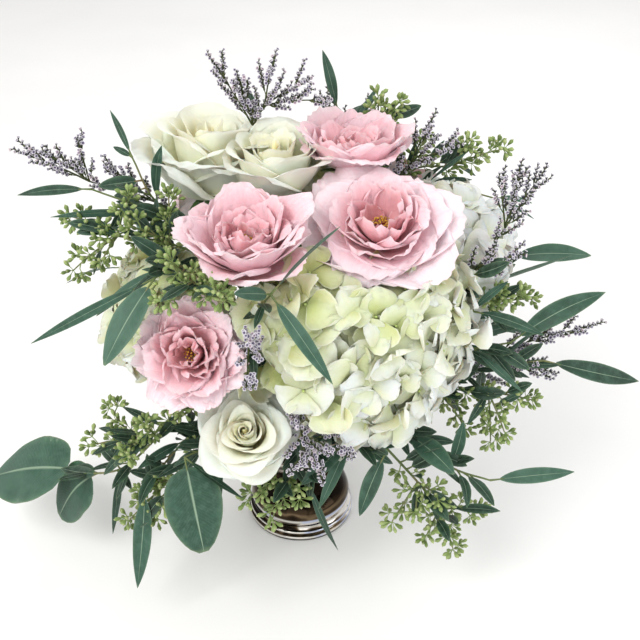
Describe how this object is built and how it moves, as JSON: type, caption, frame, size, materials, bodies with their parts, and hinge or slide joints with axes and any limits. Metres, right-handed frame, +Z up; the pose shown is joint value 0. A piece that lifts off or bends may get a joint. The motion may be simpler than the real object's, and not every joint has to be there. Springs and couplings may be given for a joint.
{
  "type": "floral table centerpiece",
  "caption": "Round table centerpiece in a footed metal bowl: garden roses, hydrangeas, seeded eucalyptus and limonium set in floral foam. Stands on its foot.",
  "frame": {"origin": "on the table, on the axis of the bowl's foot", "axes": "+Z up, +X towards the longest spread of leaves on the right, -Y towards the front of the arrangement"},
  "size_m": [0.6056, 0.3636, 0.4588],
  "materials": {
    "polished_nickel": "polished nickel, mirror-bright with dark reflections",
    "wet_foam": "water-soaked green floral foam, matt and porous",
    "pink_petal": "soft blush pink garden rose petals, deeper pink inside",
    "ivory_petal": "ivory white rose petals, greenish at the base",
    "hydrangea_petal": "white hydrangea florets shading to lime cream",
    "eucalyptus_leaf": "waxy blue-green leaves with a pale midrib",
    "seed_capsule": "pale green seed capsules on umbels",
    "limonium_flower": "tiny white-lavender flowers with dark calyces on olive stems"
  },
  "bodies": {
    "root": {"compote_foot": "polished_nickel", "compote_bowl": "polished_nickel", "floral_foam": "wet_foam", "pink_rose_left": "pink_petal", "pink_rose_large": "pink_petal", "pink_rose_top": "pink_petal", "pink_rose_low": "pink_petal", "pink_rose_back_left": "pink_petal", "pink_rose_back_right": "pink_petal", "white_rose_top_left": "ivory_petal", "white_rose_top": "ivory_petal", "white_rose_front": "ivory_petal", "white_rose_back": "ivory_petal", "white_rose_back_low": "ivory_petal", "hydrangea_front": "hydrangea_petal", "hydrangea_right": "hydrangea_petal", "hydrangea_left": "hydrangea_petal", "hydrangea_top": "hydrangea_petal", "hydrangea_back_low": "hydrangea_petal", "eucalyptus_top": "eucalyptus_leaf", "eucalyptus_right_high": "eucalyptus_leaf", "eucalyptus_right_front": "eucalyptus_leaf", "eucalyptus_right_mid": "eucalyptus_leaf", "eucalyptus_right_low": "eucalyptus_leaf", "eucalyptus_low_right": "eucalyptus_leaf", "eucalyptus_low_front": "eucalyptus_leaf", "eucalyptus_over_foot": "eucalyptus_leaf", "eucalyptus_round_left": "eucalyptus_leaf", "eucalyptus_low_left": "eucalyptus_leaf", "eucalyptus_hanging_left": "eucalyptus_leaf", "eucalyptus_left_mid": "eucalyptus_leaf", "eucalyptus_left_high": "eucalyptus_leaf", "eucalyptus_top_left": "eucalyptus_leaf", "eucalyptus_over_front": "eucalyptus_leaf", "eucalyptus_top_right": "eucalyptus_leaf", "eucalyptus_back_left": "eucalyptus_leaf", "eucalyptus_back": "eucalyptus_leaf", "eucalyptus_back_right": "eucalyptus_leaf", "eucalyptus_back_low": "eucalyptus_leaf", "seeded_left_high": "seed_capsule", "seeded_left_mid": "seed_capsule", "seeded_low_left": "seed_capsule", "seeded_hanging_left": "seed_capsule", "seeded_over_foot": "seed_capsule", "seeded_low_right": "seed_capsule", "seeded_right": "seed_capsule", "seeded_right_high": "seed_capsule", "seeded_top": "seed_capsule", "seeded_top_right": "seed_capsule", "seeded_back_left": "seed_capsule", "seeded_back_right": "seed_capsule", "limonium_top": "limonium_flower", "limonium_left": "limonium_flower", "limonium_top_right": "limonium_flower", "limonium_right": "limonium_flower", "limonium_right_low": "limonium_flower", "limonium_front": "limonium_flower", "limonium_low_front": "limonium_flower", "limonium_back": "limonium_flower"}
  },
  "joints": []
}
